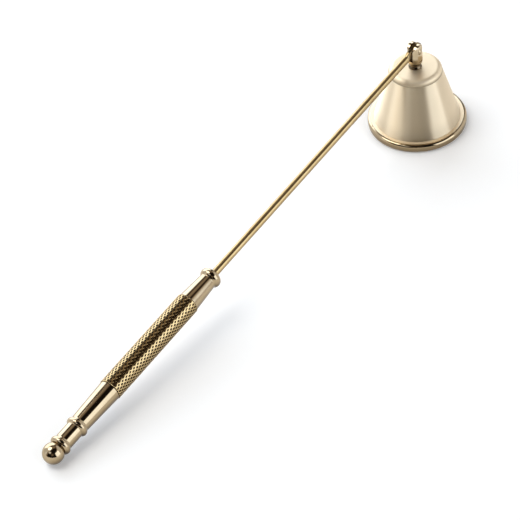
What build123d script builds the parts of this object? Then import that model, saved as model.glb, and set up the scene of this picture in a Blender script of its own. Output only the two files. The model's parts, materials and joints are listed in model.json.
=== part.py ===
from build123d import *
from math import asin, cos, degrees, pi, radians, sin, sqrt
import os

# Candle snuffer: a brass bell that swings on the end of a long knurled handle.
# It lies as it is put down: the bell stands on its rim and the handle rests on its ball.
# Millimetres. X runs from the ball to the bell, Y is the hinge axis, Z is up, and the floor is Z = 0.

# Bell
rim_radius = 20.0
bell_height = 28.4
bell_wall = 0.8
shoulder_radius = 10.8
shoulder_drop = 2.3          # from the cap's top to the crease where the cone starts
cap_edge_radius = 2.2
cone_flare_height = 11.0
cone_flare_radius = 15.1
cone_foot_inset = 2.6        # from the rim's edge in to the cone's foot
cone_foot_height = 3.45
rim_shelf_fall = 0.1         # how far the rim's shelf falls from the cone's foot to its edge
rim_shelf_round = 1.2
rim_seat_round = 1.0
rim_seat_width = 1.1         # flat ring that the bell stands on
flare_blend_radius = 60.0
crease_round = 0.15
inner_round = 1.2

# Post on the bell's cap, with its heights from the cap
post_radius = 3.0
post_foot_radius = 2.7
post_foot_height = 0.35
post_waist_radius = 2.1
post_waist_start = 1.0
post_waist_end = 1.9
post_head_start = 2.8
post_foot_round = 0.1
post_waist_round = 0.5
post_head_round = 0.3
hinge_rise = 8.22            # from the cap's top to the rivet's axis
ear_edge_round = 1.2
ear_flat_start = 3.3
ear_flat_depth = 0.4         # milled off the head's sides, so that the rivet's heads have a flat seat
slot_width = 2.0
slot_floor_gap = 0.45        # from the tongue's swept end to the slot's floor

# Screw and washer inside the bell
screw_radius = 1.3
screw_grip = 2.4             # how far the screw reaches into the post
screw_tip_gap = 0.3
screw_head_radius = 2.7
screw_head_height = 1.7
screw_head_round = 0.4
screw_slot_width = 0.8
screw_slot_depth = 0.8
washer_radius = 3.8
washer_thickness = 0.6

# Rivet
rivet_radius = 0.75
rivet_head_radius = 1.15
rivet_head_height = 0.55

# Rod, with its flattened end
rod_radius = 1.5
tongue_half_width = 2.1
tongue_thickness = 1.6
tongue_nose = 1.6            # from the rivet's axis to the centre of the tongue's rounded tip
tongue_root = 3.9            # from the rivet's axis back to where the tongue has its full width
tongue_blend = 1.9           # length over which the round rod turns into the flat tongue
tongue_edge_round = 0.35
rod_grip = 8.5               # how far the rod enters the handle

# Handle, along its own axis from the centre of the ball
handle_length = 226.7        # from the ball's centre to the rivet's axis
ball_radius = 4.13
ball_seat = 2.5              # from the ball's centre to the tail
tail_length = 30.0
neck_radius = 3.5
tail_taper_start_radius = 3.66
tail_taper_end_radius = 4.36
tail_root_radius = 2.7
rear_bead_radius = 4.2
rear_bead_centre = 1.65      # from the tail's rear face
front_bead_radius = 4.37
front_bead_centre = 11.1     # from the tail's rear face
bead_round = 1.48
cove_round = 1.1

# Grip
grip_length = 47.05
grip_radius = 4.57
grip_front_band = 0.95       # plain chamfered band in front of the knurl
grip_rear_band = 0.35
grip_band_drop = 0.38        # how far the bands fall towards the grip's ends
knurl_pitch = 2.22
knurl_depth = 0.36
knurl_crest_share = 0.56     # flat top of a diamond, as a share of its pitch
grip_bore_radius = 3.0

# Ferrule
ferrule_length = 15.7
ferrule_rear_radius = 4.25
ferrule_front_radius = 3.3
collar_radius = 4.33
collar_round = 2.05
collar_cove = 0.5

# Spigots and studs inside the handle
spigot_length = 6.0
core_stud_radius = 2.0
core_stud_rear = 8.0         # how far the stud enters the tail, past its spigot's root
core_stud_front = 5.2        # how far the stud enters the ferrule, past its rear face
finial_stud_radius = 1.5
finial_stud_in_ball = 3.6
finial_stud_in_tail = 6.0

# Fits
running_fit = 0.06           # tongue on the rivet
thread_fit = 0.05            # screwed and pressed pieces
overrun = 1.0                # how far a cutter passes the face that it cuts

# Places that follow from the sizes
pivot_height = bell_height + hinge_rise
handle_tilt = degrees(asin((pivot_height - ball_radius) / handle_length))
ball_to_pivot = handle_length * cos(radians(handle_tilt))
length_over_all = ball_radius + ball_to_pivot + rim_radius
pivot_x = length_over_all / 2 - rim_radius
ball_x = pivot_x - ball_to_pivot
tail_front = ball_seat + tail_length
grip_front = tail_front + grip_length
ferrule_front = grip_front + ferrule_length
tongue_sweep = tongue_nose + tongue_half_width
ear_flat = post_radius - ear_flat_depth

bell_place = Pos(pivot_x, 0, 0)
handle_place = Pos(ball_x, 0, ball_radius) * Rot(0, -handle_tilt, 0)


def spun(outline):
    """A closed outline in the XZ plane, spun round the bell's axis."""
    return revolve(Plane.XZ * make_face(outline), Axis.Z)


def turned(section):
    """A face on one side of the handle's axis, turned round that axis."""
    return revolve(section, Axis.X)


def bar(start, end, radius):
    """A round bar along the handle's axis."""
    return Pos(start, 0, 0) * Rot(0, 90, 0) * Cylinder(
        radius, end - start, align=(Align.CENTER, Align.CENTER, Align.MIN)
    )


def upright(start, end, radius):
    """A round bar along the bell's axis."""
    return Pos(0, 0, start) * Cylinder(radius, end - start, align=(Align.CENTER, Align.CENTER, Align.MIN))


def bead(centre, outer, round_radius):
    """The round section of a turned bead."""
    return Pos(centre, outer - round_radius) * Circle(round_radius)


def straight(start, end, radius):
    """The section of a straight length, from the handle's axis out to a radius."""
    return Pos(start, 0) * Rectangle(end - start, radius, align=(Align.MIN, Align.MIN))


def taper(start, start_radius, end, end_radius):
    """The section of a tapered length, from the handle's axis out to a radius at each end."""
    return make_face(
        Polyline((start, 0), (start, start_radius), (end, end_radius), (end, 0), close=True)
    )


def nearest(section, x, y):
    """The corner of a section that lies nearest to a point."""
    return section.vertices().sort_by_distance((x, y, 0))[0]


def make_bell_shell():
    crease_height = bell_height - shoulder_drop
    foot_radius = rim_radius - cone_foot_inset
    shelf_height = cone_foot_height - rim_shelf_fall
    lean = (cone_flare_radius - shoulder_radius) / (crease_height - cone_flare_height)
    wall_across = bell_wall * sqrt(1 + lean**2)
    ceiling = bell_height - bell_wall
    inner_shoulder = shoulder_radius - lean * (ceiling - crease_height) - wall_across
    inner_flare = cone_flare_radius - wall_across
    inner_foot = foot_radius - wall_across
    mouth = rim_radius - rim_seat_round - rim_seat_width
    outline = FilletPolyline(
        (0, bell_height),
        (shoulder_radius, bell_height),
        (shoulder_radius, crease_height),
        (cone_flare_radius, cone_flare_height),
        (foot_radius, cone_foot_height),
        (rim_radius, shelf_height),
        (rim_radius, 0),
        (mouth, 0),
        (inner_foot, cone_foot_height),
        (inner_flare, cone_flare_height),
        (inner_shoulder, ceiling),
        (0, ceiling),
        radius=[
            cap_edge_radius,
            crease_round,
            flare_blend_radius,
            crease_round,
            rim_shelf_round,
            rim_seat_round,
            crease_round,
            0,
            flare_blend_radius,
            inner_round,
        ],
    )
    shell = spun(outline + Line((0, ceiling), (0, bell_height)))
    return shell - upright(ceiling - overrun, bell_height + overrun, screw_radius + thread_fit)


def make_bell_post():
    base = bell_height
    top = pivot_height + post_radius
    # A sloping foot, a waist and a head, turned in one.
    outline = FilletPolyline(
        (0, base),
        (post_foot_radius, base),
        (post_foot_radius, base + post_foot_height),
        (post_waist_radius, base + post_waist_start),
        (post_waist_radius, base + post_waist_end),
        (post_radius, base + post_head_start),
        (post_radius, top),
        (0, top),
        radius=[0, post_foot_round, post_waist_round, post_waist_round, post_head_round, ear_edge_round],
    )
    post = spun(outline + Line((0, top), (0, base)))
    # The ears are rounded about the rivet.
    side_view = Plane.XZ * (
        Pos(0, pivot_height) * Circle(post_radius)
        + Pos(0, base) * Rectangle(2 * post_radius, hinge_rise, align=(Align.CENTER, Align.MIN))
    )
    post = post & extrude(side_view, post_radius, both=True)
    # The slot that takes the tongue.
    slot_floor = pivot_height - tongue_sweep - slot_floor_gap
    post -= Pos(0, 0, slot_floor) * Box(
        2 * (post_radius + overrun),
        slot_width,
        top - slot_floor + overrun,
        align=(Align.CENTER, Align.CENTER, Align.MIN),
    )
    # Flats for the rivet's heads.
    flat_base = base + ear_flat_start
    flat_view = Plane.XZ * (
        Pos(0, flat_base)
        * Rectangle(2 * (post_radius + overrun), top - flat_base + overrun, align=(Align.CENTER, Align.MIN))
    )
    for side in (-1, 1):
        cutter = extrude(flat_view, post_radius, dir=(0, side, 0))
        post -= Pos(0, side * ear_flat, 0) * cutter
    post -= upright(base - overrun, base + screw_grip + screw_tip_gap, screw_radius + thread_fit)
    post -= Pos(0, 0, pivot_height) * Rot(90, 0, 0) * Cylinder(
        rivet_radius + thread_fit, 2 * (post_radius + overrun)
    )
    return post


def make_hinge_rivet():
    rivet = Rot(90, 0, 0) * Cylinder(rivet_radius, 2 * ear_flat)
    dome_radius = (rivet_head_radius**2 + rivet_head_height**2) / (2 * rivet_head_height)
    for side in (-1, 1):
        dome = Pos(0, side * (ear_flat + rivet_head_height - dome_radius), 0) * Sphere(dome_radius)
        half_space = Pos(0, side * (ear_flat + dome_radius), 0) * Box(
            2 * dome_radius, 2 * dome_radius, 2 * dome_radius
        )
        rivet += dome & half_space
    return Pos(0, 0, pivot_height) * rivet


def make_post_washer():
    ceiling = bell_height - bell_wall
    ring = upright(ceiling - washer_thickness, ceiling, washer_radius)
    return ring - upright(ceiling - washer_thickness - overrun, ceiling + overrun, screw_radius + thread_fit)


def make_post_screw():
    seat = bell_height - bell_wall - washer_thickness
    head = upright(seat - screw_head_height, seat, screw_head_radius)
    head = fillet(head.edges().sort_by(Axis.Z)[0], screw_head_round)
    head -= Pos(0, 0, seat - screw_head_height) * Box(
        2 * (screw_head_radius + overrun), screw_slot_width, 2 * screw_slot_depth
    )
    return head + upright(seat, bell_height + screw_grip, screw_radius)


def make_stem_rod():
    root = handle_length - tongue_root
    blend_start = root - tongue_blend
    rod = bar(ferrule_front - rod_grip, blend_start, rod_radius)
    flat_section = Plane.YZ * RectangleRounded(tongue_thickness, 2 * tongue_half_width, tongue_edge_round)
    round_section = Plane.YZ * Circle(rod_radius)
    rod += loft([Pos(blend_start, 0, 0) * round_section, Pos(root, 0, 0) * flat_section])
    side_view = Pos(root, 0) * Rectangle(
        tongue_root + tongue_nose, 2 * tongue_half_width, align=(Align.MIN, Align.CENTER)
    ) + Pos(handle_length + tongue_nose, 0) * Circle(tongue_half_width)
    tongue = extrude(Plane.XZ * side_view, tongue_thickness / 2, both=True)
    flat_edges = tongue.faces().filter_by(Axis.Y).edges()
    outer_edges = flat_edges.filter_by(lambda edge: edge.center().X > root + tongue_edge_round)
    rod += fillet(outer_edges, tongue_edge_round)
    rod -= Pos(handle_length, 0, 0) * Rot(90, 0, 0) * Cylinder(
        rivet_radius + running_fit, tongue_thickness + 2 * overrun
    )
    return rod


def make_stem_ferrule():
    collar_centre = ferrule_front - collar_round
    core_radius = collar_radius - collar_round
    section = bead(collar_centre, collar_radius, collar_round)
    section &= straight(collar_centre - collar_round, ferrule_front, collar_radius)
    section += straight(collar_centre, ferrule_front, core_radius)
    section += taper(grip_front, ferrule_rear_radius, collar_centre, ferrule_front_radius)
    crossing = collar_centre - sqrt(collar_round**2 - (ferrule_front_radius - core_radius) ** 2)
    section = fillet(nearest(section, crossing, ferrule_front_radius), collar_cove)
    ferrule = turned(section)
    ferrule += bar(grip_front - spigot_length, grip_front, grip_bore_radius - thread_fit)
    ferrule -= bar(ferrule_front - rod_grip, ferrule_front + overrun, rod_radius + thread_fit)
    ferrule -= bar(
        grip_front - spigot_length - overrun,
        grip_front + core_stud_front + screw_tip_gap,
        core_stud_radius + thread_fit,
    )
    return ferrule


def knurl_point(x, radius, angle):
    return Vector(x, radius * sin(angle), radius * cos(angle))


def make_knurled_bar(start, end):
    """A round bar with raised flat-topped diamonds between crossed helical grooves."""
    around = round(2 * pi * grip_radius / knurl_pitch)
    rows = round((end - start) / knurl_pitch)
    half_length = (end - start) / (2 * rows)
    half_angle = pi / around
    root_radius = grip_radius - knurl_depth
    crest_angle = asin(knurl_crest_share * root_radius * sin(half_angle) / grip_radius)
    crest_length = knurl_crest_share * half_length
    ridge_radius = grip_radius * cos(crest_angle) + knurl_crest_share * root_radius * (1 - cos(half_angle))
    faces = []
    end_points = {0: [], 2 * rows: []}
    for row in range(2 * rows + 1):
        x = start + row * half_length
        for column in range(row % 2, 2 * around, 2):
            angle = column * half_angle
            middle = knurl_point(x, ridge_radius, angle)
            for side in (-1, 1):
                crest = knurl_point(x, grip_radius, angle + side * crest_angle)
                groove = knurl_point(x, root_radius, angle + side * half_angle)
                for way in (-1, 1):
                    if not 0 <= row + way <= 2 * rows:
                        continue
                    tip = knurl_point(x + way * crest_length, ridge_radius, angle)
                    crossing = knurl_point(x + way * half_length, root_radius, angle)
                    faces.append(Face(Wire.make_polygon([middle, crest, tip])))
                    faces.append(Face(Wire.make_polygon([crest, groove, crossing, tip])))
            if row in end_points:
                end_points[row] += [
                    knurl_point(x, grip_radius, angle - crest_angle),
                    middle,
                    knurl_point(x, grip_radius, angle + crest_angle),
                    knurl_point(x, root_radius, angle + half_angle),
                ]
    faces += [Face(Wire.make_polygon(points)) for points in end_points.values()]
    return Solid(Shell(faces))


def make_knurled_grip():
    knurl_start = tail_front + grip_rear_band
    knurl_end = grip_front - grip_front_band
    band_radius = grip_radius - grip_band_drop
    grip = make_knurled_bar(knurl_start, knurl_end)
    grip += turned(taper(tail_front, band_radius, knurl_start, grip_radius))
    grip += turned(taper(knurl_end, grip_radius, grip_front, band_radius))
    return grip - bar(tail_front - overrun, grip_front + overrun, grip_bore_radius)


def make_tail_turning():
    taper_start = ball_seat + front_bead_centre
    rear_bead = ball_seat + rear_bead_centre
    section = taper(taper_start, tail_taper_start_radius, tail_front, tail_taper_end_radius)
    section += straight(rear_bead, taper_start, neck_radius)
    section += straight(ball_seat, rear_bead, tail_root_radius)
    section += bead(rear_bead, rear_bead_radius, bead_round)
    section += bead(taper_start, front_bead_radius, bead_round)
    rear_crossing = rear_bead + sqrt(bead_round**2 - (neck_radius - rear_bead_radius + bead_round) ** 2)
    front_crossing = taper_start + sqrt(
        bead_round**2 - (tail_taper_start_radius - front_bead_radius + bead_round) ** 2
    )
    section = fillet(nearest(section, rear_crossing, neck_radius), cove_round)
    section = fillet(nearest(section, front_crossing, tail_taper_start_radius), cove_round)
    tail = turned(section)
    tail += bar(tail_front, tail_front + spigot_length, grip_bore_radius - thread_fit)
    tail -= bar(
        tail_front - core_stud_rear - screw_tip_gap,
        tail_front + spigot_length + overrun,
        core_stud_radius + thread_fit,
    )
    tail -= bar(
        ball_seat - overrun,
        ball_seat + finial_stud_in_tail + screw_tip_gap,
        finial_stud_radius + thread_fit,
    )
    return tail


def make_ball_finial():
    ball = Sphere(ball_radius) - Pos(ball_seat, 0, 0) * Box(
        ball_radius, 2 * ball_radius, 2 * ball_radius, align=(Align.MIN, Align.CENTER, Align.CENTER)
    )
    return ball - bar(
        ball_seat - finial_stud_in_ball - screw_tip_gap, ball_seat + overrun, finial_stud_radius + thread_fit
    )


def make_core_stud():
    return bar(tail_front - core_stud_rear, grip_front + core_stud_front, core_stud_radius)


def make_finial_stud():
    return bar(ball_seat - finial_stud_in_ball, ball_seat + finial_stud_in_tail, finial_stud_radius)


bell_pieces = {
    "bell_shell": make_bell_shell(),
    "bell_post": make_bell_post(),
    "hinge_rivet": make_hinge_rivet(),
    "post_washer": make_post_washer(),
    "post_screw": make_post_screw(),
}
handle_pieces = {
    "stem_rod": make_stem_rod(),
    "stem_ferrule": make_stem_ferrule(),
    "knurled_grip": make_knurled_grip(),
    "tail_turning": make_tail_turning(),
    "ball_finial": make_ball_finial(),
    "core_stud": make_core_stud(),
    "finial_stud": make_finial_stud(),
}

os.makedirs("parts", exist_ok=True)
for name, piece in bell_pieces.items():
    export_step(bell_place * piece, f"parts/{name}.step")
for name, piece in handle_pieces.items():
    export_step(handle_place * piece, f"parts/{name}.step")
print("length over all", round(length_over_all, 2), "handle tilt", round(handle_tilt, 3))
print("pivot at", round(pivot_x, 3), round(pivot_height, 3))
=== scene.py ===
import json
from math import cos, pi, radians, sin

import bpy
from mathutils import Matrix, Vector


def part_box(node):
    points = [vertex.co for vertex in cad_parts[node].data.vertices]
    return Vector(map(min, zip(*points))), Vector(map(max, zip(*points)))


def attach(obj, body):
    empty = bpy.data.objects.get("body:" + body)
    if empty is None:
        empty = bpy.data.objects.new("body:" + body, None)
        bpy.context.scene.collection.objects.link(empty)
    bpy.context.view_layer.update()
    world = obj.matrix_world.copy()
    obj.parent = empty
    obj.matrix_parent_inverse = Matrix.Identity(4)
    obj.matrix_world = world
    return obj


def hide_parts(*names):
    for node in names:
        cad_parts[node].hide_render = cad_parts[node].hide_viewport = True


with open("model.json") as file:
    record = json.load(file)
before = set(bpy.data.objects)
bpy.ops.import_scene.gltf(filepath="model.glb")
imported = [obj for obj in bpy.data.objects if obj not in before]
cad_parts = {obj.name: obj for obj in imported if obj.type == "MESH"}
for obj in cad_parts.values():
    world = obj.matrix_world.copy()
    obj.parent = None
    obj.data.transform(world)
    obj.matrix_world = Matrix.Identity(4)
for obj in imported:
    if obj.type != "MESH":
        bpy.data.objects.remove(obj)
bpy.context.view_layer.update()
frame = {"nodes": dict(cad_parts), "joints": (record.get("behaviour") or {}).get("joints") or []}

# The photograph's view
# A long lens looks down on the object from the ball's end and to one side, so that the handle
# runs up and away to the bell. The middle of the bell's foot lies at the pixel given here.

millimetre = 0.001
image_size = 520
focal_length_pixels = 2721.8
bell_foot_pixel = Vector((417.28, 120.34))
camera_distance = 1100 * millimetre
camera_elevation = radians(43.31)
camera_turn = radians(-48.44)
camera_roll = radians(-5.40)
sensor_width = 36.0


def add_object(name, data):
    """A new object in the scene."""
    new = bpy.data.objects.new(name, data)
    bpy.context.scene.collection.objects.link(new)
    return new


pivot = Vector(frame["joints"][0]["pos_m"])
bell_foot = Vector((pivot.x, 0, 0))
towards_camera = Vector(
    (
        sin(camera_turn) * cos(camera_elevation),
        -cos(camera_turn) * cos(camera_elevation),
        sin(camera_elevation),
    )
)
level_right = Vector((cos(camera_turn), sin(camera_turn), 0))
level_up = towards_camera.cross(level_right)
view_right = cos(camera_roll) * level_right + sin(camera_roll) * level_up
view_up = cos(camera_roll) * level_up - sin(camera_roll) * level_right
picture_middle = Vector((image_size, image_size)) / 2
foot_offset = (bell_foot_pixel - picture_middle) * camera_distance / focal_length_pixels
camera_place = (
    bell_foot
    + camera_distance * towards_camera
    - foot_offset.x * view_right
    + foot_offset.y * view_up
)
camera_axes = Matrix((view_right, view_up, towards_camera)).transposed()

camera_data = bpy.data.cameras.new("camera")
camera_data.sensor_width = sensor_width
camera_data.lens = focal_length_pixels / image_size * sensor_width
camera_data.clip_start = camera_distance / 20
camera_data.clip_end = camera_distance * 20
camera = add_object("camera", camera_data)
camera.matrix_world = Matrix.Translation(camera_place) @ camera_axes.to_4x4()
bpy.context.scene.camera = camera

# Bell
# Spun from sheet brass and skimmed on a lathe, which leaves fine rings on its satin cone and cap.
# The thick lip is buffed bright. Tarnish lines the creases. The cap's rounded edge, the cone's
# foot and the lip's lower half are painted darker, as painted shade, and the flat shelf between
# lip and cone is painted pale, as a painted highlight.


class Shader:
    """A material's or the world's node tree, with one way to add a node."""

    def __init__(self, tree):
        self.tree = tree
        tree.nodes.clear()

    def node(self, kind, settings=None, inputs=None, output=0):
        """Adds a node, sets its settings, then sets or links its inputs, and gives one output."""
        new = self.tree.nodes.new(kind)
        for name, value in (settings or {}).items():
            setattr(new, name, value)
        for name, value in (inputs or {}).items():
            if isinstance(value, Signal):
                self.tree.links.new(value.socket, new.inputs[name])
            else:
                new.inputs[name].default_value = value
        return Signal(self, new.outputs[output]) if new.outputs else None

    def vector(self, operation, *values, output="Vector"):
        inputs = dict(enumerate(values))
        return self.node("ShaderNodeVectorMath", {"operation": operation}, inputs, output)

    def blend(self, share, low, high):
        """The colour low where share is 0, and the colour high where it is 1."""
        # A Mix node takes its two colours at inputs 6 and 7, and gives one at output 2.
        inputs = {0: share, 6: low, 7: high}
        return self.node("ShaderNodeMix", {"data_type": "RGBA"}, inputs, output=2)


class Signal:
    """One socket of a shader, which expressions read as a number."""

    def __init__(self, shader, socket):
        self.shader = shader
        self.socket = socket

    def math(self, operation, *values):
        inputs = dict(enumerate(values))
        return self.shader.node("ShaderNodeMath", {"operation": operation}, inputs)

    def __add__(self, other):
        return self.math("ADD", self, other)

    def __sub__(self, other):
        return self.math("SUBTRACT", self, other)

    def __rsub__(self, other):
        return self.math("SUBTRACT", other, self)

    def __mul__(self, other):
        return self.math("MULTIPLY", self, other)

    def __truediv__(self, other):
        return self.math("DIVIDE", self, other)

    def __abs__(self):
        return self.math("ABSOLUTE", self)

    __radd__ = __add__
    __rmul__ = __mul__

    def rise(self, low, high):
        """0 below low and 1 above high, with a soft step between them."""
        steps = {"Value": self, "From Min": low, "From Max": high}
        return self.shader.node("ShaderNodeMapRange", {"interpolation_type": "SMOOTHSTEP"}, steps)

    def near(self, value, inside, outside):
        """1 up to the distance inside from a value, and 0 from the distance outside on."""
        return 1 - abs(self - value).rise(inside, outside)


# The buffed tone also serves for painted highlights, and the tarnish colour also for painted shade.
brass_buffed_and_painted_highlight = (0.95, 0.79, 0.55, 1)
brass_pale = (0.50, 0.385, 0.24, 1)
brass_deep = (0.41, 0.31, 0.18, 1)
plain_tones = (brass_deep, brass_pale)
tarnish_and_painted_shade = (0.07, 0.045, 0.022, 1)
grain_up_the_slope = 0.25


def height_above_table(shader, place):
    return shader.node("ShaderNodeSeparateXYZ", inputs={"Vector": place}, output="Z")


def clouds(shader, place, size, detail=3.0):
    """Soft uneven patches of about a given size."""
    inputs = {"Vector": place, "Scale": 1 / size, "Detail": detail}
    return shader.node("ShaderNodeTexNoise", inputs=inputs)


def lines(shader, position, pitch):
    """Uneven lines with about a given pitch along a position."""
    inputs = {"W": position / pitch, "Scale": 1.0, "Detail": 2.0, "Roughness": 0.7}
    return shader.node("ShaderNodeTexNoise", {"noise_dimensions": "1D"}, inputs)


def mottled(broad, fine, broad_share):
    """From the deep tone at 0 to the pale one at 1, by a broad and a fine pattern."""
    return (broad * broad_share + fine * (1 - broad_share)).rise(0.3, 0.7)


def metal(
    shader, tone, roughness, relief, depth, dirt_and_painted_shade=0.0, buffed_and_painted_highlight=0.0, grain=0.0, tones=plain_tones
):
    """Brass in two tones with a relief on it. Buffing and painted highlight make it paler in
    places, and dirt and painted shade make it darker.
    """
    colour = shader.blend(buffed_and_painted_highlight, shader.blend(tone, *tones), brass_buffed_and_painted_highlight)
    inputs = {
        "Base Color": shader.blend(dirt_and_painted_shade, colour, tarnish_and_painted_shade),
        "Metallic": 1.0,
        "Roughness": roughness,
        "Normal": shader.node("ShaderNodeBump", inputs={"Height": relief, "Distance": depth}),
        "Anisotropic": grain,
        "Anisotropic Rotation": grain_up_the_slope,
    }
    return shader.node("ShaderNodeBsdfPrincipled", inputs=inputs)


def brass(name, finish):
    """A brass material with the surface that a finish gives it."""
    material = bpy.data.materials.new(name)
    material.use_nodes = True
    shader = Shader(material.node_tree)
    place = shader.node("ShaderNodeTexCoord", output="Object")
    shader.node("ShaderNodeOutputMaterial", inputs={"Surface": finish(shader, place)})
    return material


def finish_nodes(material, *names):
    """Gives carried-over pieces their finish."""
    for name in names:
        slots = frame["nodes"][name].data.materials
        for index in range(len(slots)):
            slots[index] = material


bell_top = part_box("bell_shell")[1].z
crease_height = bell_top - 2.3 * millimetre
crease_width = 0.3 * millimetre
cap_edge_width = 1.4 * millimetre
cone_foot_height = 3.45 * millimetre
cone_foot_radius = 17.4 * millimetre
cone_foot_shade = 7 * millimetre
lip_radius = 18.7 * millimetre
# The lip's painted shade lies outside this radius and below this height.
lip_shade_radius = 19.3 * millimetre
lip_shade_height = 2.4 * millimetre
lathe_pitch = 0.22 * millimetre


def spun_bell(shader, place):
    height = height_above_table(shader, place)
    flat = Vector((1, 1, 0))
    sideways = shader.vector("MULTIPLY", shader.vector("SUBTRACT", place, bell_foot), flat)
    span = shader.vector("LENGTH", sideways, output="Value")
    lathe = lines(shader, height + span, lathe_pitch)
    patches = clouds(shader, place, 9 * millimetre)

    lip = span.rise(lip_radius - 0.2 * millimetre, lip_radius + 0.2 * millimetre)
    cap = height.rise(crease_height - 0.1 * millimetre, crease_height + 0.1 * millimetre)
    cone = (1 - cap) * height.rise(cone_foot_height, cone_foot_height + 0.2 * millimetre)
    shelf = (1 - lip) * (1 - cap) * (1 - cone)

    crease = height.near(crease_height, 0.05 * millimetre, crease_width)
    foot_crease = span.near(cone_foot_radius, 0.05 * millimetre, 0.25 * millimetre)
    foot_crease *= height.near(cone_foot_height, 0.1 * millimetre, crease_width)
    # Painted shade: the band of the cap's rounded edge just above the crease is darkened.
    painted_cap_edge_shade = cap * (1 - height.rise(crease_height + crease_width, crease_height + cap_edge_width))
    # Painted shade: the cone darkens towards its foot.
    painted_cone_foot_shade = cone * (1 - height.rise(cone_foot_height, cone_foot_height + cone_foot_shade))
    # Painted shade: the lip's lower half is darkened, standing in for the shaded table it mirrors.
    painted_lip_shade = span.rise(lip_shade_radius - 0.2 * millimetre, lip_shade_radius + 0.2 * millimetre)
    painted_lip_shade *= 1 - height.rise(lip_shade_height - 0.5 * millimetre, lip_shade_height + 0.5 * millimetre)
    dirt_and_painted_shade = (crease + foot_crease * 0.5) * (0.1 + patches * 0.3)
    dirt_and_painted_shade += painted_cap_edge_shade * 0.5 + painted_cone_foot_shade * 0.15 + painted_lip_shade * (0.3 + patches * 0.3)

    tone = mottled(patches, lathe, broad_share=0.6)
    cone_roughness = 0.40 + lathe * 0.06 + patches * 0.04
    satin_cone = metal(
        shader, tone, cone_roughness, lathe, 0.006 * millimetre, dirt_and_painted_shade, buffed_and_painted_highlight=0.9, grain=1.0
    )
    cap_roughness = 0.06 + cap * 0.48 + shelf * 0.5 + patches * 0.03
    cap_relief = lathe * (1 - lip)
    # The shelf takes the pale buffed tone as a painted highlight.
    cap_and_lip = metal(
        shader, tone, cap_roughness, cap_relief, 0.004 * millimetre, dirt_and_painted_shade, buffed_and_painted_highlight=cap * 0.8 + shelf
    )
    return shader.node("ShaderNodeMixShader", inputs={0: cone, 1: cap_and_lip, 2: satin_cone})


finish_nodes(brass("satin_bell", spun_bell), "bell_shell")

# Post
# Turned from brass bar, with its head milled flat on both sides and slotted for the rod's tongue.
# It stands on the cap, held by a screw from inside. Its waist is painted dark, as painted shade.

waist_low = bell_top + 2.2 * millimetre
waist_high = bell_top + 3.8 * millimetre
mill_pitch = 0.12 * millimetre


def milled_post(shader, place):
    height = height_above_table(shader, place)
    strokes = lines(shader, height, mill_pitch)
    patches = clouds(shader, place, 2.5 * millimetre)
    painted_waist_shade = 1 - height.rise(waist_low, waist_high)
    tone = mottled(patches, strokes, broad_share=0.7)
    roughness = 0.07 + patches * 0.05 + strokes * 0.03
    # Painted shade: the waist is darkened.
    dirt_and_painted_shade = painted_waist_shade * 0.85
    return metal(shader, tone, roughness, strokes, 0.003 * millimetre, dirt_and_painted_shade, buffed_and_painted_highlight=0.2)


finish_nodes(brass("milled_post_brass", milled_post), "bell_post")

# Rivet
# A brass rivet through the post and the rod's tongue. Its two heads are set by hand, so they are
# smooth, with a few small dents.


def set_rivet(shader, place):
    dents = clouds(shader, place, 0.5 * millimetre, detail=1.0)
    return metal(shader, dents.rise(0.3, 0.7), 0.1 + dents * 0.08, dents, 0.02 * millimetre)


finish_nodes(brass("set_rivet_brass", set_rivet), "hinge_rivet")

# Washer and screw
# Plain turned brass inside the bell, which holds the post. Nobody polishes them, and the flame's
# soot dulls them.


def turned_fixing(shader, place):
    patches = clouds(shader, place, 1.2 * millimetre)
    specks = clouds(shader, place, 0.25 * millimetre)
    soot = patches.rise(0.35, 0.75) * 0.6
    roughness = 0.26 + specks * 0.14
    return metal(shader, specks.rise(0.3, 0.7), roughness, specks, 0.01 * millimetre, soot)


turned_brass = brass("turned_fixing_brass", turned_fixing)
finish_nodes(turned_brass, "post_washer", "post_screw")

# Rod
# A drawn rod of yellower brass, pressed flat into a tongue at the hinge. Drawing leaves faint lines
# along it. The tongue is smooth and painted dark, as a painted dark reflection, and the rod's
# underside is painted dark, as painted shade.

golden_tones = ((0.36, 0.245, 0.105, 1), (0.50, 0.36, 0.175, 1))
line_stretch = 0.03

ball_low, ball_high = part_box("ball_finial")
ball_radius = (ball_high.z - ball_low.z) / 2
ball_centre = Vector((ball_low.x + ball_radius, 0, ball_radius))
handle_way = (pivot - ball_centre).normalized()
handle_side = Vector((0, 1, 0))
handle_up = handle_way.cross(handle_side)
tongue_start = (pivot - ball_centre).length - 5 * millimetre


def handle_frame(shader, place):
    """How far a point lies along the handle and off its axis, and 1 underneath (painted shade)."""
    offset = shader.vector("SUBTRACT", place, ball_centre)
    along = shader.vector("DOT_PRODUCT", offset, handle_way, output="Value")
    across = shader.vector("CROSS_PRODUCT", offset, handle_way)
    off_axis = shader.vector("LENGTH", across, output="Value")
    lift = shader.vector("DOT_PRODUCT", offset, handle_up, output="Value")
    # 1 on the handle's underside, where shade is painted.
    painted_underside_shade = 1 - (lift / off_axis).rise(-0.5, 0.35)
    return along, off_axis, painted_underside_shade


def drawn_rod(shader, place):
    along, _, painted_underside_shade = handle_frame(shader, place)
    tongue = along.rise(tongue_start - 1 * millimetre, tongue_start + 1 * millimetre)
    squeezed = shader.vector("MULTIPLY", place, Vector((line_stretch, 1, 1)))
    drawing = clouds(shader, squeezed, 0.35 * millimetre)
    patches = clouds(shader, place, 14 * millimetre)
    tone = mottled(patches, drawing, broad_share=0.6)
    roughness = 0.18 - tongue * 0.12 + drawing * 0.06 + patches * 0.03
    # Painted shade on the underside, and the tongue painted dark as a painted dark reflection.
    dirt_and_painted_shade = painted_underside_shade * 0.6 + tongue * 0.65
    return metal(shader, tone, roughness, drawing, 0.004 * millimetre, dirt_and_painted_shade, tones=golden_tones)


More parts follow.
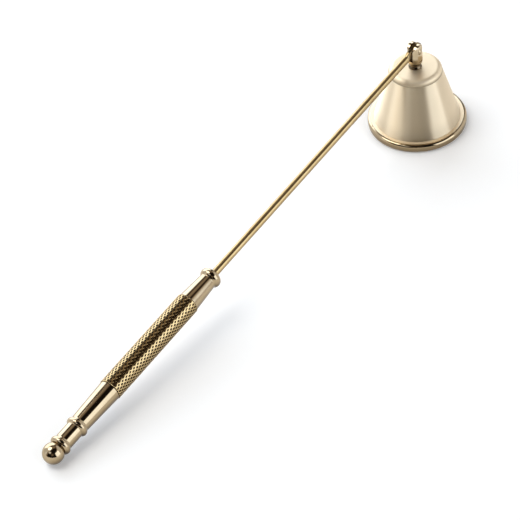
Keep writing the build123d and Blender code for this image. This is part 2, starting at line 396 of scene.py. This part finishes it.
finish_nodes(brass("drawn_rod_brass", drawn_rod), "stem_rod")

# Ferrule and tail
# Both are turned from brass bar and buffed, and a long stud pulls them against the grip. Faint
# rings are left round them, and their undersides are painted dark, as painted shade.

turning_pitch = 0.18 * millimetre


def turned_handle(shader, place):
    along, _, painted_underside_shade = handle_frame(shader, place)
    turning = lines(shader, along, turning_pitch)
    patches = clouds(shader, place, 7 * millimetre)
    tone = mottled(patches, turning, broad_share=0.6)
    roughness = 0.06 + turning * 0.04 + patches * 0.03
    # Painted shade: the undersides are darkened.
    dirt_and_painted_shade = painted_underside_shade * 0.9
    return metal(shader, tone, roughness, turning, 0.0006 * millimetre, dirt_and_painted_shade)


finish_nodes(brass("buffed_turning_brass", turned_handle), "stem_ferrule", "tail_turning")

# Knurled grip
# A brass sleeve that a knurling tool has pressed full of crossed ridges, finer round it than along
# it. Handling keeps the ridges bright. The pits between them are dark with tarnish and painted
# shade, and the sleeve's underside is painted darker, as painted shade.

grip_radius = 4.57 * millimetre
grip_bore_radius = 3.0 * millimetre
knurl_depth = 0.36 * millimetre
knurl_pitch = 2.22 * millimetre
pits_round = 22
knurl_steps = 8
crest_share = 2 / knurl_steps
pit_floor_share = 2 / knurl_steps
end_chamfer = 0.35 * millimetre

grip_node = frame["nodes"]["knurled_grip"]
grip_alongs = [
    (grip_node.matrix_world @ corner.co - ball_centre).dot(handle_way)
    for corner in grip_node.data.vertices
]
grip_start, grip_end = min(grip_alongs), max(grip_alongs)
steps_along = round((grip_end - grip_start) / knurl_pitch) * knurl_steps
steps_round = pits_round * knurl_steps


def pit_depth(pits_along_here, pits_round_here):
    """0 on the crossed ridges and knurl_depth at the middle of a pit."""
    crossed = (pits_along_here + pits_round_here, pits_along_here - pits_round_here)
    from_ridge = min(1 - abs(2 * (line % 1) - 1) for line in crossed)
    slope = (from_ridge - crest_share) / (1 - crest_share - pit_floor_share)
    return knurl_depth * min(max(slope, 0), 1)


def sleeve_point(along, radius, column):
    """A point at a way along the handle and a radius, by steps round it."""
    angle = 2 * pi * column / steps_round
    spoke = cos(angle) * handle_side + sin(angle) * handle_up
    return ball_centre + along * handle_way + radius * spoke


def knurl_point(row, column):
    """A point of the sleeve's outside, by steps along it and steps round it."""
    length = grip_end - grip_start
    along = length * row / steps_along
    from_end = min(along, length - along)
    chamfer = knurl_depth * max(1 - from_end / end_chamfer, 0)
    depth = max(chamfer, pit_depth(row / knurl_steps, column / knurl_steps))
    return sleeve_point(grip_start + along, grip_radius - depth, column)


def knurled_mesh():
    """A closed sleeve whose cells are split from their middles, so every ridge lies on edges."""
    rows, columns = range(steps_along), range(steps_round)
    points = [knurl_point(row, column) for row in range(steps_along + 1) for column in columns]
    middles = len(points)
    points += [knurl_point(row + 0.5, column + 0.5) for row in rows for column in columns]
    start_bore = len(points)
    points += [sleeve_point(grip_start, grip_bore_radius, column) for column in columns]
    end_bore = len(points)
    points += [sleeve_point(grip_end, grip_bore_radius, column) for column in columns]
    end_rim = steps_along * steps_round
    faces = []
    for column in columns:
        beside = (column + 1) % steps_round
        for row in rows:
            near, far = row * steps_round, (row + 1) * steps_round
            cell = [near + column, near + beside, far + beside, far + column]
            middle = middles + row * steps_round + column
            faces += [(cell[side - 1], cell[side], middle) for side in range(4)]
        faces.append((start_bore + column, start_bore + beside, beside, column))
        faces.append((end_rim + column, end_rim + beside, end_bore + beside, end_bore + column))
        faces.append(
            (end_bore + column, end_bore + beside, start_bore + beside, start_bore + column)
        )
    mesh = bpy.data.meshes.new("knurled_sleeve")
    mesh.from_pydata(points, [], faces)
    mesh.validate()
    return mesh


def knurled_sleeve(shader, place):
    _, off_axis, painted_underside_shade = handle_frame(shader, place)
    crest = off_axis.rise(grip_radius - 0.6 * knurl_depth, grip_radius)
    specks = clouds(shader, place, 0.3 * millimetre)
    patches = clouds(shader, place, 6 * millimetre)
    tone = (crest * 0.7 + specks * 0.3).rise(0.2, 0.8)
    roughness = 0.2 - crest * 0.1 + specks * 0.05
    # The pits are dark with tarnish and painted shade, and the underside gets painted shade.
    dirt_and_painted_shade = (1 - crest) * (0.65 + patches * 0.4) + painted_underside_shade * 0.4
    return metal(shader, tone, roughness, specks, 0.004 * millimetre, dirt_and_painted_shade, tones=golden_tones)


sleeve_mesh = knurled_mesh()
sleeve_mesh.materials.append(brass("knurled_brass", knurled_sleeve))
sleeve = add_object("knurled_sleeve", sleeve_mesh)
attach(sleeve, "handle")
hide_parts("knurled_grip")

# Ball
# A turned and buffed brass ball on a short stud. It rests on the table, and its underside is
# painted darker, as painted shade. It has the faintest scuffs.


def buffed_ball(shader, place):
    patches = clouds(shader, place, 3 * millimetre)
    scuffs = clouds(shader, place, 0.4 * millimetre)
    height = height_above_table(shader, place)
    # Painted shade: the ball darkens towards the table.
    dirt_and_painted_shade = (1 - height.rise(0.2 * ball_radius, 1.5 * ball_radius)) * 0.75
    tone = mottled(patches, scuffs, broad_share=0.7)
    roughness = 0.07 + patches * 0.05 + scuffs * 0.03
    return metal(shader, tone, roughness, scuffs, 0.002 * millimetre, dirt_and_painted_shade)


finish_nodes(brass("buffed_ball_brass", buffed_ball), "ball_finial")

# Studs inside the handle
# Two lengths of turned brass stud, which pull the handle's pieces together and don't show.

finish_nodes(turned_brass, "core_stud", "finial_stud")

# Floor
# A plain table covered with white paper. The paper is a little warm, which evens out the cool lamp,
# and it glows faintly only where it is looked at or mirrored, so that it shows white.

floor_size = 6000 * millimetre
paper_white = (0.97, 0.93, 0.855, 1)
paper_glow = 0.13

corner = floor_size / 2
corners_round = ((-corner, -corner), (corner, -corner), (corner, corner), (-corner, corner))
floor_mesh = bpy.data.meshes.new("floor")
floor_mesh.from_pydata([(x, y, 0) for x, y in corners_round], [], [(0, 1, 2, 3)])
floor_material = bpy.data.materials.new("floor")
floor_material.use_nodes = True
paper = Shader(floor_material.node_tree)
plain = paper.node("ShaderNodeBsdfDiffuse", inputs={"Color": paper_white})
glow = paper.node("ShaderNodeEmission", inputs={"Color": (1, 1, 1, 1), "Strength": paper_glow})
glowing = paper.node("ShaderNodeAddShader", inputs={0: plain, 1: glow})
looked_at = paper.node("ShaderNodeLightPath", output="Is Camera Ray")
looked_at += paper.node("ShaderNodeLightPath", output="Is Glossy Ray")
looked_at += paper.node("ShaderNodeLightPath", output="Is Transmission Ray")
surface = paper.node("ShaderNodeMixShader", inputs={0: looked_at, 1: plain, 2: glowing})
paper.node("ShaderNodeOutputMaterial", inputs={"Surface": surface})
floor_mesh.materials.append(floor_material)
floor = add_object("floor", floor_mesh)

# Light
# A white tent, dim overhead and open towards the camera, where the metal shows dark bands. Its
# cloth is warm where dim and cool where lit. A round lamp behind the object casts the shadow.

cloth_shade = 0.012
dim_cloth = (1.0, 0.80, 0.60, 1)
lit_cloth = (0.90, 1.0, 1.17, 1)
lit_cloth_level = 1.4
# Each lit screen: its strength, then azimuth, elevation, width, height and soft edge in degrees.
tent_screens = (
    (3.3, 60, 13, 62, 66, 14),
    (1.05, 118, 26, 52, 60, 20),
    (1.3, 176, 47, 24, 18, 8),
    (0.5, 146, 12, 24, 30, 14),
    (2.3, 277, 16, 44, 52, 5),
    (1.0, 330, 20, 66, 60, 16),
    (0.25, 215, 30, 20, 20, 12),
    (0.4, 60, 74, 60, 24, 16),
)

world = bpy.data.worlds.new("studio")
bpy.context.scene.world = world
world.use_nodes = True
studio = Shader(world.node_tree)
direction = studio.node("ShaderNodeTexCoord", output="Generated")


def way_to(azimuth, elevation):
    """The direction from the object to an azimuth and an elevation in degrees."""
    turn, lift = radians(azimuth), radians(elevation)
    return Vector((cos(turn) * cos(lift), sin(turn) * cos(lift), sin(lift)))


def screen(azimuth, elevation, width, height, edge):
    """1 on a soft-edged screen of the tent, sized in degrees as seen from the object."""
    middle = way_to(azimuth, elevation)
    side = Vector((0, 0, 1)).cross(middle).normalized()
    depth = studio.vector("DOT_PRODUCT", direction, middle, output="Value")
    sideways = studio.vector("DOT_PRODUCT", direction, side, output="Value")
    upwards = studio.vector("DOT_PRODUCT", direction, middle.cross(side), output="Value")
    mask = depth.rise(0, 0.05)
    for offset, size in ((sideways, width), (upwards, height)):
        angle = abs(depth.math("ARCTAN2", offset, depth))
        mask *= 1 - angle.rise(radians(size - edge) / 2, radians(size + edge) / 2)
    return mask


level = cloth_shade
for strength, *where in tent_screens:
    level = level + strength * screen(*where)
cloth = studio.blend(level.rise(0, lit_cloth_level), dim_cloth, lit_cloth)
background = studio.node("ShaderNodeBackground", inputs={"Color": cloth, "Strength": level})
studio.node("ShaderNodeOutputWorld", inputs={"Surface": background})

lamp_way = way_to(122, 62)
lamp_distance = 900 * millimetre
lamp_data = bpy.data.lights.new("key", "AREA")
lamp_data.shape = "DISK"
lamp_data.size = 560 * millimetre
lamp_data.energy = 3.2
lamp_data.color = (0.88, 0.93, 1.0)
lamp = add_object("key", lamp_data)
lamp.location = lamp_distance * lamp_way
lamp.rotation_euler = lamp_way.to_track_quat("Z", "Y").to_euler()

bpy.context.scene.view_settings.view_transform = "Standard"
